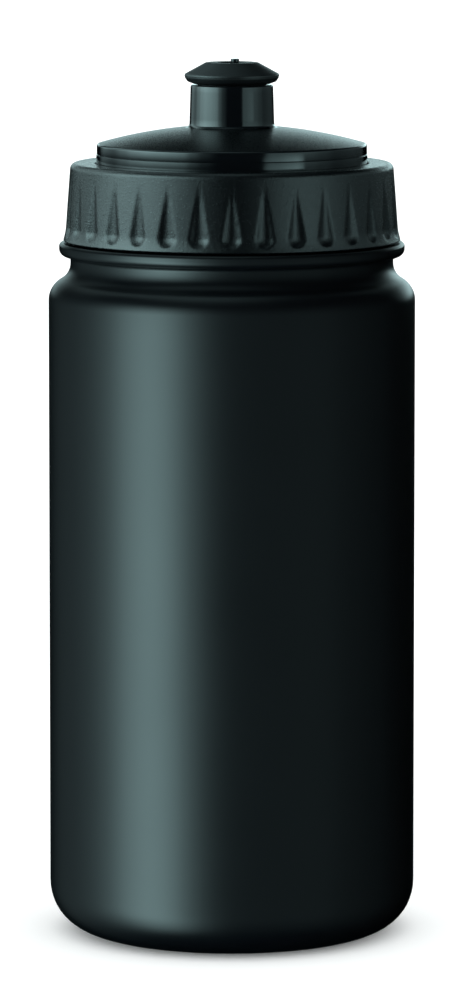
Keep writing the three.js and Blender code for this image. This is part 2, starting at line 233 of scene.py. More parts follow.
class Finishes(bpy.types.PropertyGroup):
    """Colours and gloss of the plastics."""

    bottle_black: colour("Bottle black", "Satin polyethylene of the bottle", (0.0006, 0.0011, 0.0020))
    bottle_roughness: share("Bottle roughness", "Roughness of the bottle's wall", 0.31)
    collar_grey: colour("Collar grey", "Frosted polypropylene of the collar", (0.0012, 0.0020, 0.0027))
    collar_roughness: share("Collar roughness", "Roughness of the collar's grain", 0.23)
    lid_black: colour("Lid black", "Polypropylene of the lid", (0.0012, 0.0017, 0.0022))
    lid_gloss: share("Lid gloss roughness", "Roughness of the polished bands and stem", 0.10)
    lid_satin: share("Lid satin roughness", "Roughness of the dome", 0.28)
    mouthpiece_black: colour("Mouthpiece black", "Soft polyethylene of the spout", (0.0014, 0.0024, 0.0032))
    mouthpiece_roughness: share("Mouthpiece roughness", "Roughness of the spout", 0.46)
    seal_grey: colour("Seal grey", "Soft elastomer of the seal ring", (0.30, 0.32, 0.32))


class StudioSettings(bpy.types.PropertyGroup):
    """Camera, floor and lights."""

    camera_distance: length("Camera distance", "Level distance from the axis to the camera", 1130.0)
    camera_height: length("Camera height", "Height of the camera above the floor", 230.0)
    camera_side: length("Camera side", "How far the camera stands to the right", 0.52)
    camera_pitch: angle("Camera pitch", "How far the camera looks down", 7.25)
    camera_lens: bpy.props.FloatProperty(
        name="Camera lens", description="Focal length on a 36 mm frame", default=205.9,
        unit="CAMERA", min=20, max=500,
    )
    light_distance: length("Light distance", "Distance from the axis to the softboxes", 1200.0)
    sky: share("Sky", "Strength of the white surroundings", 1.5, 5.0)


GROUPS = {
    "bottle_sizes": BottleSizes,
    "thread_sizes": ThreadSizes,
    "collar_sizes": CollarSizes,
    "lid_sizes": LidSizes,
    "mouthpiece_sizes": MouthpieceSizes,
    "bottle_finishes": Finishes,
    "bottle_studio": StudioSettings,
}


# ---------------------------------------------------------------- surfaces


def rounded(corners, step_degrees=7.0):
    """An outline through corners (radius, height, rounding): each rounding becomes an arc that
    touches both edges. The cut back from the corner is the rounding times the tangent of half the
    turn, and two arcs that meet along an edge shrink to share it. A point that repeats the one
    before it is left out, because it would make faces of no area."""
    points = np.array([corner[:2] for corner in corners], float)
    rounding = np.array([corner[2] if len(corner) > 2 else 0.0 for corner in corners])
    edges = np.diff(points, axis=0)
    lengths = np.linalg.norm(edges, axis=1)
    along = edges / lengths[:, None]
    cosines = np.clip((along[:-1] * along[1:]).sum(1), -1, 1)
    turns = np.concatenate([[0], np.arccos(cosines), [0]])
    cuts = rounding * np.tan(turns / 2)
    for index, edge in enumerate(lengths):
        wanted = cuts[index] + cuts[index + 1]
        if wanted > edge:
            cuts[index:index + 2] *= edge / wanted
    path = [points[:1]]
    for index in range(1, len(points) - 1):
        path.append(corner_arc(points[index], along[index - 1], along[index], cuts[index], turns[index],
                               step_degrees))
    path.append(points[-1:])
    outline = np.concatenate(path)
    moved = np.linalg.norm(np.diff(outline, axis=0), axis=1) > SAME_POINT
    return outline[np.append(True, moved)]


def corner_arc(corner, arriving, leaving, cut, turn, step_degrees):
    """The arc that starts one cut before a corner and ends one cut after it: the centre lies one
    radius to the inner side, and the points turn evenly from the first normal to the last."""
    if cut <= 0:
        return corner[None]
    side = np.sign(arriving[0] * leaving[1] - arriving[1] * leaving[0])
    normal = side * np.array([-arriving[1], arriving[0]])
    radius = cut / math.tan(turn / 2)
    start = corner - arriving * cut
    centre = start + normal * radius
    steps = max(4, math.ceil(math.degrees(turn) / step_degrees))
    swept = side * turn * np.linspace(0, 1, steps + 1)
    spoke = start - centre
    return centre + np.stack([
        spoke[0] * np.cos(swept) - spoke[1] * np.sin(swept),
        spoke[0] * np.sin(swept) + spoke[1] * np.cos(swept),
    ], axis=1)


def refined(path, spacing):
    """The same outline with every stretch longer than the spacing divided evenly. The spacing may
    be a number, or a function of the stretch's middle (radius, height)."""
    starts = path[:-1]
    spans = np.diff(path, axis=0)
    lengths = np.linalg.norm(spans, axis=1)
    middles = starts + spans / 2
    wanted = spacing(middles[:, 0], middles[:, 1]) if callable(spacing) else spacing
    counts = np.maximum(1, np.ceil(lengths / wanted)).astype(int)
    owner = np.repeat(np.arange(len(counts)), counts)
    first = np.repeat(np.cumsum(counts) - counts, counts)
    fraction = (np.arange(counts.sum()) - first) / counts[owner]
    points = starts[owner] + spans[owner] * fraction[:, None]
    return np.concatenate([points, path[-1:]])


def whole_turn(columns, extra=()):
    """Evenly spaced angles round a full turn, with extra angles merged in, in rising order."""
    even = np.arange(columns) * (2 * math.pi / columns)
    return np.unique(np.round(np.concatenate([even, np.asarray(extra, float) % (2 * math.pi)]), 9))


def mesh_piece(name, points, quads, triangles, material):
    """A smooth mesh object from whole arrays of points, quads and triangles."""
    corners = np.concatenate([quads.ravel(), triangles.ravel()]).astype(np.int32)
    sizes = np.concatenate([np.full(len(quads), 4), np.full(len(triangles), 3)])
    starts = (np.cumsum(sizes) - sizes).astype(np.int32)
    mesh = bpy.data.meshes.new(name)
    mesh.vertices.add(len(points))
    mesh.vertices.foreach_set("co", points.astype(np.float32).ravel())
    mesh.loops.add(len(corners))
    mesh.loops.foreach_set("vertex_index", corners)
    mesh.polygons.add(len(starts))
    mesh.polygons.foreach_set("loop_start", starts)
    mesh.polygons.foreach_set("use_smooth", np.ones(len(starts), bool))
    mesh.update(calc_edges=True)
    if mesh.validate():
        raise RuntimeError(f"{name} has faulty faces")
    mesh.materials.append(material)
    piece = bpy.data.objects.new(name, mesh)
    bpy.context.scene.collection.objects.link(piece)
    return piece


def band_quads(rows, columns, closed):
    """Quads between neighbouring rows of a grid whose columns run once round. When closed, the last
    row joins the first."""
    row = np.arange(rows if closed else rows - 1)[:, None]
    column = np.arange(columns)[None, :]
    above, beside = (row + 1) % rows, (column + 1) % columns
    return np.stack(np.broadcast_arrays(
        row * columns + column, row * columns + beside,
        above * columns + beside, above * columns + column,
    ), axis=-1).reshape(-1, 4)


def end_fans(rows, columns):
    """Triangles that close a grid's first and last rows onto the two points listed after it."""
    first, top = rows * columns, (rows - 1) * columns
    column, beside = np.arange(columns), (np.arange(columns) + 1) % columns
    return np.concatenate([
        np.stack([np.full(columns, first), beside, column], axis=1),
        np.stack([np.full(columns, first + 1), top + column, top + beside], axis=1),
    ])


def turned(name, path, angles, material, offset=None):
    """A closed surface turned about +Z: the point at row i and column j is the outline's radius
    and height at i, at angle j. offset(angle, radius, height) gives a change of radius. The
    outline runs anticlockwise round the wall; it starts and ends on the axis, or closes on itself."""
    on_axis = path[0, 0] < 1e-9 and path[-1, 0] < 1e-9
    body = path[1:-1] if on_axis else path[:-1]
    radius, height = body[:, :1], body[:, 1:]
    azimuth = angles[None, :]
    change = offset(azimuth, radius, height) if offset else 0.0
    around = radius + change + 0 * azimuth
    grid = np.stack([around * np.cos(azimuth), around * np.sin(azimuth),
                     height + 0 * azimuth], axis=-1)
    rows, columns = grid.shape[:2]
    quads = band_quads(rows, columns, closed=not on_axis)
    points = grid.reshape(-1, 3)
    triangles = np.zeros((0, 3), int)
    if on_axis:
        points = np.concatenate([points, [[0, 0, path[0, 1]], [0, 0, path[-1, 1]]]])
        triangles = end_fans(rows, columns)
    return mesh_piece(name, points, quads, triangles, material)


def ring_path(corners, spacing, step_degrees=7.0):
    """A rounded outline that closes on itself. Its first corner stays sharp."""
    closed = list(corners) + [corners[0][:2]]
    return refined(rounded(closed, step_degrees), spacing)


def soft_step(value):
    """Nought to one, level at both ends: three times the square less twice the cube."""
    clipped = np.clip(value, 0, 1)
    return clipped * clipped * (3 - 2 * clipped)


def helix_ridge(azimuth, height, start, start_turn, thread):
    """How much of a thread's relief there is at an angle and height, from nought to one. The
    ridge's middle rises one pitch a turn from start; across it the section is a trapezoid with
    soft edges, and along it both ends fade over the run-out."""
    turn_here = (azimuth % (2 * math.pi)) / (2 * math.pi)
    relief = np.zeros(np.broadcast_shapes(azimuth.shape, height.shape))
    last_turn = start_turn + thread.turns
    for whole in range(math.ceil(last_turn) + 1):
        turn = turn_here + whole
        middle = start + thread.pitch * (turn - start_turn)
        flank = (thread.root_width / 2 - np.abs(height - middle))
        across = soft_step(flank / ((thread.root_width - thread.crest_width) / 2))
        inside = np.minimum(turn - start_turn, last_turn - turn)
        relief = np.maximum(relief, across * soft_step(inside / thread.run_out))
    return relief


def put(piece, body, slot, *nodes):
    """Rides a piece on its body, hides the CAD nodes it stands for, and gives the bottle and the cap
    each their own softboxes. The slot is not used."""
    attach(piece, body)
    lit_by = BODY_PIECES if body == "bottle" else CAP_PIECES
    bpy.data.collections[lit_by].objects.link(piece)
    if nodes:
        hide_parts(*nodes)


# ---------------------------------------------------------------- heights shared by pieces


def bead_top(thread):
    """The bead's top lies one running gap under the collar's edge."""
    return COLLAR_BOTTOM - thread.clearance


def neck_thread_start(thread):
    """The neck's ridge ends one land below the lip, and starts over +X."""
    return LIP_TOP - thread.lip_land - thread.turns * thread.pitch


def flange_bottom():
    """The flange lies as far above the seal ring as the ring lies above the bottle's lip."""
    return SEAL_TOP + (SEAL_BOTTOM - LIP_TOP)


def disc_radius(scene):
    """The disc's lower band, one inset inside the neck's outside."""
    return scene.bottle_sizes.neck_radius - scene.lid_sizes.disc_inset


def disc_top(lid):
    """Height of the disc's top edge, which carries the dome."""
    return COLLAR_TOP + lid.lower_band + lid.upper_band


def dome_height(radius, scene):
    """Height of the dome at a radius: a sphere through the disc's edge that rises by dome_rise."""
    lid = scene.lid_sizes
    edge = disc_radius(scene) - lid.step
    sphere = (edge ** 2 + lid.dome_rise ** 2) / (2 * lid.dome_rise)
    return disc_top(lid) + lid.dome_rise - sphere + np.sqrt(sphere ** 2 - np.asarray(radius) ** 2)


def stem_foot(scene):
    """Height of the dome where the stem's outside meets it."""
    lid = scene.lid_sizes
    return float(dome_height(lid.stem_radius + lid.stem_draft, scene))


# ---------------------------------------------------------------- finishes


GLOSS_TINT = (0.92, 1.0, 1.0, 1.0)
STEM_SIDE = (8.9 * MM, 9.3 * MM)
DISC_SIDE = (26.2 * MM, 26.45 * MM)


class Wiring:
    """A short way to write a node tree."""

    def __init__(self, tree):
        self.tree = tree

    def add(self, kind, **settings):
        """A node of a kind. Settings that name an input set its value or link a socket to it."""
        node = self.tree.nodes.new(kind)
        for key, value in settings.items():
            if hasattr(node, key):
                setattr(node, key, value)
            else:
                self.feed(node.inputs[key.replace("_", " ").title()], value)
        return node

    def feed(self, socket, value):
        """Sets a socket to a value, or links another socket to it."""
        if isinstance(value, bpy.types.NodeSocket):
            self.tree.links.new(value, socket)
        else:
            socket.default_value = value

    def maths(self, operation, *values):
        """One step of arithmetic on numbers or sockets."""
        node = self.add("ShaderNodeMath", operation=operation)
        for socket, value in zip(node.inputs, values):
            self.feed(socket, value)
        return node.outputs[0]

    def between(self, value, from_low, from_high, to_low, to_high):
        """Carries a range of values onto another range, level outside it."""
        node = self.add("ShaderNodeMapRange")
        for socket, number in zip(node.inputs, (value, from_low, from_high, to_low, to_high)):
            self.feed(socket, number)
        return node.outputs[0]

    def mix(self, factor, first, second):
        """A mix of two colours."""
        node = self.tree.nodes.new("ShaderNodeMix")
        node.data_type = "RGBA"
        self.feed(node.inputs["Factor"], factor)
        self.feed(node.inputs[6], first)
        self.feed(node.inputs[7], second)
        return node.outputs[2]

    def level_length(self, x, y):
        """The root of the sum of two squares."""
        squares = (self.maths("MULTIPLY", value, value) for value in (x, y))
        return self.maths("SQRT", self.maths("ADD", *squares))

    def about(self, noise, middle, reach):
        """Carries the bulk of a noise onto a value, give or take a reach."""
        return self.between(noise, 0.3, 0.7, middle - reach, middle + reach)

    def ramp(self, value, stops, tallest=1.0):
        """A smooth curve through (place, height) stops, both counted from nought to one; the heights
        may run up to tallest."""
        node = self.add("ShaderNodeValToRGB", Fac=value)
        curve = node.color_ramp
        curve.interpolation = "EASE"
        while len(curve.elements) < len(stops):
            curve.elements.new(0.5)
        for element, (place, height) in zip(curve.elements, stops):
            element.position = place
            element.color = [height / tallest] * 3 + [1.0]
        return self.maths("MULTIPLY", node.outputs["Color"], tallest)


class Nodes(Wiring):
    """A short way to write a plastic's material."""

    def __init__(self, name):
        self.material = bpy.data.materials.new(name)
        self.material.use_nodes = True
        super().__init__(self.material.node_tree)
        self.shader = self.tree.nodes["Principled BSDF"]
        self.place = self.add("ShaderNodeTexCoord").outputs["Object"]

    def noise(self, scale, detail=2.0, roughness=0.5, place=None):
        """Grey noise of a size: scale is the number of grains per metre."""
        node = self.add("ShaderNodeTexNoise", Scale=scale, Detail=detail, Roughness=roughness,
                        Vector=place or self.place)
        return node.outputs["Fac"]

    def bump(self, height, distance, before=None):
        """A bump whose height socket of nought to one spans a distance in metres."""
        node = self.add("ShaderNodeBump", Strength=1.0, Distance=distance, Height=height)
        if before is not None:
            self.feed(node.inputs["Normal"], before)
        return node.outputs["Normal"]

    def finish(self, **settings):
        """Feeds the shader: names are its sockets' names with underscores for spaces."""
        for key, value in settings.items():
            self.feed(self.shader.inputs[key.replace("_", " ")], value)
        return self.material


def rgba(values, gain=1.0):
    """A colour socket's four numbers from three."""
    return [min(1.0, value * gain) for value in values[:3]] + [1.0]


def satin_bottle(finishes):
    """Blow-moulded polyethylene: an even satin with a very fine matt grain and faint vertical drag
    from the parison."""
    nodes = Nodes("satin_bottle")
    grain = nodes.noise(5200.0, 3.0, 0.6)
    cloud = nodes.noise(38.0, 2.0)
    drag = nodes.noise(900.0, 2.0, place=stretched(nodes, (1.0, 1.0, 0.02)))
    rough = nodes.maths("ADD", nodes.about(cloud, 0.0, 0.012), finishes.bottle_roughness)
    rough = nodes.maths("ADD", rough, nodes.about(grain, 0.0, 0.02))
    tone = nodes.between(cloud, 0.3, 0.7, 0.0, 1.0)
    normal = nodes.bump(drag, 0.004 * MM)
    normal = nodes.bump(grain, 0.006 * MM, before=normal)
    return nodes.finish(
        Base_Color=nodes.mix(tone, rgba(finishes.bottle_black, 0.92), rgba(finishes.bottle_black, 1.08)),
        Roughness=rough, Normal=normal, IOR=1.5, Specular_Tint=GLOSS_TINT,
    )


def stretched(nodes, scale):
    """Object coordinates scaled along each axis, so that a pattern runs long along the small one."""
    node = nodes.add("ShaderNodeMapping", Vector=nodes.place)
    node.inputs["Scale"].default_value = scale
    return node.outputs[0]


def frosted_collar(finishes):
    """Spark-eroded polypropylene: see-through grey under a fine matt grain."""
    nodes = Nodes("frosted_collar")
    grain = nodes.noise(3000.0, 4.0, 0.65)
    rough = nodes.about(grain, finishes.collar_roughness, 0.06)
    return nodes.finish(
        Base_Color=rgba(finishes.collar_grey), Roughness=rough,
        Normal=nodes.bump(grain, 0.07 * MM), IOR=1.49, Transmission_Weight=0.35,
        Specular_Tint=GLOSS_TINT,
    )


def lid_plastic(finishes):
    """Polished black polypropylene on the disc's bands and the stem, satin on the dome: the satin
    lies between the stem's fillet and the disc's edge, above the bands."""
    nodes = Nodes("lid_plastic")
    parts = nodes.add("ShaderNodeSeparateXYZ", Vector=nodes.place)
    x, y = parts.outputs["X"], parts.outputs["Y"]
    radius = nodes.level_length(x, y)
    outside_stem = nodes.between(radius, *STEM_SIDE, 0.0, 1.0)
    inside_edge = nodes.between(radius, *DISC_SIDE, 1.0, 0.0)
    satin = nodes.maths("MULTIPLY", outside_stem, inside_edge)
    grain = nodes.noise(4200.0, 3.0, 0.6)
    polish = nodes.noise(60.0, 2.0)
    gloss = nodes.between(polish, 0.3, 0.7, finishes.lid_gloss - 0.015, finishes.lid_gloss + 0.02)
    rough = nodes.about(grain, finishes.lid_satin, 0.04)
    spread = nodes.maths("SUBTRACT", rough, gloss)
    roughness = nodes.maths("ADD", gloss, nodes.maths("MULTIPLY", spread, satin))
    height = nodes.maths("MULTIPLY", grain, satin)
    return nodes.finish(
        Base_Color=rgba(finishes.lid_black), Roughness=roughness,
        Normal=nodes.bump(height, 0.025 * MM), IOR=1.5, Specular_Tint=GLOSS_TINT,
    )


def soft_mouthpiece(finishes):
    """Soft matt polyethylene with a fine dulled grain."""
    nodes = Nodes("soft_mouthpiece")
    grain = nodes.noise(3800.0, 3.0, 0.6)
    rough = nodes.about(grain, finishes.mouthpiece_roughness, 0.05)
    return nodes.finish(
        Base_Color=rgba(finishes.mouthpiece_black), Roughness=rough,
        Normal=nodes.bump(grain, 0.012 * MM), IOR=1.5, Specular_Tint=GLOSS_TINT,
    )


def seal_rubber(finishes):
    """Soft grey elastomer with a slight mottle."""
    nodes = Nodes("seal_rubber")
    mottle = nodes.noise(900.0, 3.0)
    tone = nodes.mix(mottle, rgba(finishes.seal_grey, 0.85), rgba(finishes.seal_grey, 1.1))
    return nodes.finish(Base_Color=tone, Roughness=0.6, Normal=nodes.bump(mottle, 0.01 * MM))


# ---------------------------------------------------------------- pieces


def bottle_path(sizes, thread):
    """The bottle's outline, anticlockwise: under the base, up the outside over shoulder, waist,
    bead and neck, over the lip and down the inside."""
    body = BODY_RADIUS - sizes.skin
    top = body - sizes.draft
    waist = sizes.neck_radius + sizes.waist_depth
    bead = sizes.neck_radius + sizes.bead_stand
    bore = sizes.neck_radius - sizes.neck_wall
    bead_high = bead_top(thread)
    bead_low = bead_high - sizes.bead_height
    waist_low = bead_low - sizes.waist_height
    shoulder = waist_low - (top - waist) * math.tan(sizes.shoulder_slope)
    ring_inner = body - sizes.base_rounding - sizes.ring_width
    push_up_radius = ring_inner - sizes.push_up_slope
    drop = sizes.wall * math.tan((math.pi / 2 - sizes.shoulder_slope) / 2)
    inner_round = sizes.base_rounding - sizes.wall
    corners = [
        (0, sizes.push_up),
        (push_up_radius, sizes.push_up, 3 * MM),
        (ring_inner, 0, sizes.ring_rounding),
        (body, 0, sizes.base_rounding),
        (top, shoulder, sizes.shoulder_rounding),
        (waist, waist_low, sizes.waist_rounding),
        (waist, bead_low, 1 * MM),
        (bead, bead_low, sizes.bead_rounding),
        (bead, bead_high, 0.7 * MM),
        (sizes.neck_radius, bead_high, 0.5 * MM),
        (sizes.neck_radius, LIP_TOP, 0.4 * MM),
        (bore, LIP_TOP, 0.4 * MM),
        (bore, bead_high - sizes.wall, 1 * MM),
        (waist - sizes.wall, bead_low, 1 * MM),
        (waist - sizes.wall, waist_low - drop, sizes.waist_rounding),
        (top - sizes.wall, shoulder - drop, sizes.shoulder_rounding - sizes.wall),
        (body - sizes.wall, sizes.base_wall, inner_round),
        (ring_inner + 1 * MM, sizes.base_wall, sizes.ring_rounding),
        (push_up_radius + 1 * MM, sizes.push_up + sizes.base_wall, 3 * MM),
        (0, sizes.push_up + sizes.base_wall),
    ]
    in_neck = lambda r, z: np.where((z > bead_high) & (r > bore + 0.5 * MM), 0.25 * MM, 4 * MM)
    return refined(rounded(corners), in_neck)


class BuildBottle(bpy.types.Operator):
    """Build the blow-moulded bottle and the pinch-off seam under its base"""

    bl_idname = "squeeze_bottle.bottle"
    bl_label = "Bottle"

    def execute(self, context):
        scene = context.scene
        sizes, thread = scene.bottle_sizes, scene.thread_sizes
        material = satin_bottle(scene.bottle_finishes)
        start = neck_thread_start(thread)
        bead_high = bead_top(thread)
        half = sizes.parting_width / 2
        near_line = np.linspace(-2, 2, 9) * half / BODY_RADIUS

        def moulding(azimuth, radius, height):
            """The thread's relief on the neck, and a low ridge over +X and -X on the outside."""
            on_neck = (height > bead_high + 0.6 * MM) & (radius > sizes.neck_radius - 0.1 * MM)
            ridge = helix_ridge(azimuth, height, start, 0.0, thread) * thread.relief
            across = np.abs(radius * np.sin(azimuth))
            line = sizes.parting_height * (1 - soft_step(across / half))
            wall_side = (radius > BODY_RADIUS - 1 * MM) & (height > 1 * MM) & (height < bead_high)
            return np.where(on_neck, ridge, np.where(wall_side, line - sizes.parting_height, 0.0))

        angles = whole_turn(248, np.concatenate([near_line, near_line + math.pi]))
        shell = turned("bottle_shell", bottle_path(sizes, thread), angles, material, moulding)
        put(shell, "bottle", "satin_black_bottle", "bottle_body")
        put(pinch_off(sizes, material), "bottle", "satin_black_bottle")
        return {"FINISHED"}


def pinch_off(sizes, material):
    """The seam where the mould pinched the parison shut: a low bar along X under the base. Its
    section is a flat oval that shrinks to a point at both ends by the square root of one less the
    fourth power of the share of its length."""
    along = np.linspace(-1, 1, 81)[:, None]
    around = (np.arange(24) * (2 * math.pi / 24))[None, :]
    full = np.sqrt(np.sqrt(np.maximum(0, 1 - along ** 4)))
    x = along * sizes.pinch_length / 2 + 0 * around
    y = 0.7 * MM * full * np.cos(around)
    middle = sizes.push_up + 0.05 * MM
    z = middle + 0.3 * MM * full * np.sin(around)
    grid = np.stack([x, y, z], axis=-1)[1:-1]
    rows, columns = grid.shape[:2]
    points = np.concatenate([grid.reshape(-1, 3), [[x[0, 0], 0, middle], [x[-1, 0], 0, middle]]])
    quads, triangles = band_quads(rows, columns, closed=False), end_fans(rows, columns)
    return mesh_piece("pinch_off_seam", points, quads, triangles, material)


def collar_outside(height, sizes, thread, neck_radius):
    """Radius of the collar's outside: a drafted wall that flares by the square of how far a point
    lies inside the flare."""
    bore = neck_radius + thread.relief + thread.clearance
    flare = np.maximum(0, 1 - (height - COLLAR_BOTTOM) / sizes.flare_height)
    return bore + sizes.wall + (COLLAR_TOP - height) * sizes.draft + sizes.flare * flare ** 2


class BuildCollar(bpy.types.Operator):
    """Build the frosted screw collar with its teardrop grips and inner thread"""

    bl_idname = "squeeze_bottle.collar"
    bl_label = "Screw collar"

    def execute(self, context):
        scene = context.scene
        sizes, thread = scene.collar_sizes, scene.thread_sizes
        neck_radius = scene.bottle_sizes.neck_radius
        material = frosted_collar(scene.bottle_finishes)
        bore = neck_radius + thread.relief + thread.clearance
        opening = disc_radius(scene) + thread.clearance
        lip_bottom = COLLAR_TOP - sizes.lip
        fine = sizes.fine_rounding
        wall_heights = np.linspace(COLLAR_BOTTOM, COLLAR_BOTTOM + sizes.flare_height, 9)
        outer = lambda z: float(collar_outside(z, sizes, thread, neck_radius))
        wall = [(outer(z), float(z)) for z in wall_heights]
        corners = [
            (bore, lip_bottom),
            (bore, COLLAR_BOTTOM, fine),
            (*wall[0], fine),
            *wall[1:],
            (outer(COLLAR_TOP), COLLAR_TOP, sizes.edge_rounding),
            (opening, COLLAR_TOP, fine),
            (opening, lip_bottom, fine),
        ]
        outside = lambda r, z: np.where(r > bore + sizes.wall / 2, 0.2 * MM, 0.5 * MM)
        path = ring_path(corners, outside, 10.0)
        reach_down = math.sqrt(sizes.grip_depth * (2 * sizes.grip_ball - sizes.grip_depth))
        ball_height = COLLAR_BOTTOM + sizes.grip_bottom + reach_down
        point_height = COLLAR_TOP - sizes.grip_top
        pitch_line = (thread.root_width + thread.crest_width) / 2
        start = COLLAR_BOTTOM + thread.skirt_land
        offset = start - neck_thread_start(thread) + pitch_line + thread.clearance
        start_turn = offset / thread.pitch

        def moulding(azimuth, radius, height):
            """Teardrop grips cut into the outside and the thread's relief on the inside. The first grip
            faces the front and the others follow at even steps. A grip is the ball's section: the
            root of its radius squared less the squares of the distances across and down, less how
            far its centre stands outside the wall. Above the ball both shrink evenly to the point."""
            step = 2 * math.pi / sizes.grips
            from_front = azimuth + math.pi / 2 + step / 2
            across = radius * ((from_front % step) - step / 2)
            taper = np.clip((point_height - height) / (point_height - ball_height), 0, 1)
            down = np.maximum(0, ball_height - height)
            squares = (sizes.grip_ball * taper) ** 2 - across ** 2 - down ** 2
            sunk = np.sqrt(np.maximum(0, squares)) - (sizes.grip_ball - sizes.grip_depth) * taper
            edge = sizes.grip_edge * np.minimum(1, taper * 4)
            cut = (sunk + np.sqrt(sunk ** 2 + edge ** 2)) / 2
            cut = np.where(height > point_height, 0, cut)
            on_outside = radius > bore + sizes.wall / 2
            on_bore = (np.abs(radius - bore) < 0.01 * MM) & (height > COLLAR_BOTTOM + 0.3 * MM)
            ridge = helix_ridge(azimuth, height, start, start_turn, thread)
            return np.where(on_outside, -cut, np.where(on_bore, -ridge * thread.relief, 0.0))

        angles = whole_turn(16 * sizes.grips)
        shell = turned("collar_shell", path, angles, material, moulding)
        put(shell, "collar", "frosted_collar", "screw_collar")
        return {"FINISHED"}


def dome_corners(scene, first, last, drop, steps=24):
    """Points along the dome's arc from one radius to another, dropped by a wall."""
    radii = np.linspace(first, last, steps + 1)
    return [(float(r), float(z)) for r, z in zip(radii, dome_height(radii, scene) - drop)]


def lid_corners(scene):
    """The lid's outline, anticlockwise: under the plug, out over the flange, up the disc's two
    bands, in over the dome, up the stem, over its rim and down the bore to the roof inside."""
    lid = scene.lid_sizes
    sizes = scene.bottle_sizes
    plug = sizes.neck_radius - sizes.neck_wall - scene.thread_sizes.clearance
    low = flange_bottom()
    disc = disc_radius(scene)
    upper = disc - lid.step
    upper_foot = upper + lid.band_draft / 2
    upper_edge = upper - lid.band_draft / 2
    step_height = COLLAR_TOP + lid.lower_band
    top = disc_top(lid)
    foot = lid.stem_radius + lid.stem_draft
    bore = lid.stem_radius - lid.stem_wall
    rim = stem_foot(scene) + lid.stem_height
    stop = rim - lid.stem_lip_height
    inner = upper - lid.wall
    edge = 0.12 * MM
    return [
        (plug - lid.plug_wall, PLUG_BOTTOM),
        (plug, PLUG_BOTTOM, 0.4 * MM),
        (plug, low, edge),
        (FLANGE_RADIUS, low, 0.2 * MM),
        (FLANGE_RADIUS, low + lid.flange, 0.2 * MM),
        (disc, low + lid.flange, edge),
        (disc, step_height - lid.groove / 2, 0.05 * MM),
        (upper_foot - lid.groove, step_height, 0.03 * MM),
        (upper_foot, step_height + lid.groove / 2, 0.05 * MM),
        (upper_edge, top, lid.edge_rounding),
        *dome_corners(scene, upper_edge - lid.edge_rounding, foot + 2 * lid.stem_fillet, 0),
        (foot, stem_foot(scene), lid.stem_fillet),
        (lid.stem_radius, rim, lid.rim_rounding),
        (bore - lid.stem_lip, rim, lid.rim_rounding),
        (bore - lid.stem_lip, stop, edge),
        (bore, stop - lid.stem_lip, edge),
        (bore, float(dome_height(bore, scene)) - lid.wall, 0.3 * MM),
        *dome_corners(scene, bore + lid.stem_fillet, inner - lid.wall, lid.wall),
        (inner, top - lid.wall, 0.5 * MM),
        (inner, low, 0.5 * MM),
        (plug - lid.plug_wall, low - lid.wall, 0.5 * MM),
    ]


class BuildLid(bpy.types.Operator):
    """Build the domed lid, its stem, its spokes and its closing pin"""

    bl_idname = "squeeze_bottle.lid"
    bl_label = "Domed lid"

    def execute(self, context):
        scene = context.scene
        lid = scene.lid_sizes
        material = lid_plastic(scene.bottle_finishes)
        path = ring_path(lid_corners(scene), 1.2 * MM)
        shell = turned("lid_shell", path, whole_turn(256), material)
        put(shell, "lid", "gloss_black_lid", "dome_lid")
        top = stem_foot(scene)
        tip_top = HEAD_TOP - lid.pin_recess
        shank_top = tip_top - lid.pin_tip_height
        pin_corners = [
            (0, top - lid.spoke_height),
            (lid.pin_shank, top - lid.spoke_height, 0.4 * MM),
            (lid.pin_shank, shank_top, 0.3 * MM),
            (lid.pin_tip, shank_top + lid.pin_tip - lid.pin_shank, 0.3 * MM),
            (lid.pin_tip, tip_top, 0.35 * MM),
            (0, tip_top),
        ]
        pin = turned("closing_pin", refined(rounded(pin_corners), 0.6 * MM), whole_turn(64), material)
        put(pin, "lid", "gloss_black_lid")
        nub_corners = [
            (0, tip_top - 0.3 * MM),
            (lid.nub_radius, tip_top - 0.3 * MM),
            (lid.nub_radius, NUB_TOP, 0.12 * MM),
            (0, NUB_TOP),
        ]
        nub = turned("pin_nub", refined(rounded(nub_corners), 0.3 * MM), whole_turn(40), material)
        nub.data.transform(Matrix.Translation((lid.nub_offset, 0, 0)))
        put(nub, "lid", "gloss_black_lid")
        put(pin_spokes(lid, top, material), "lid", "gloss_black_lid")
        return {"FINISHED"}


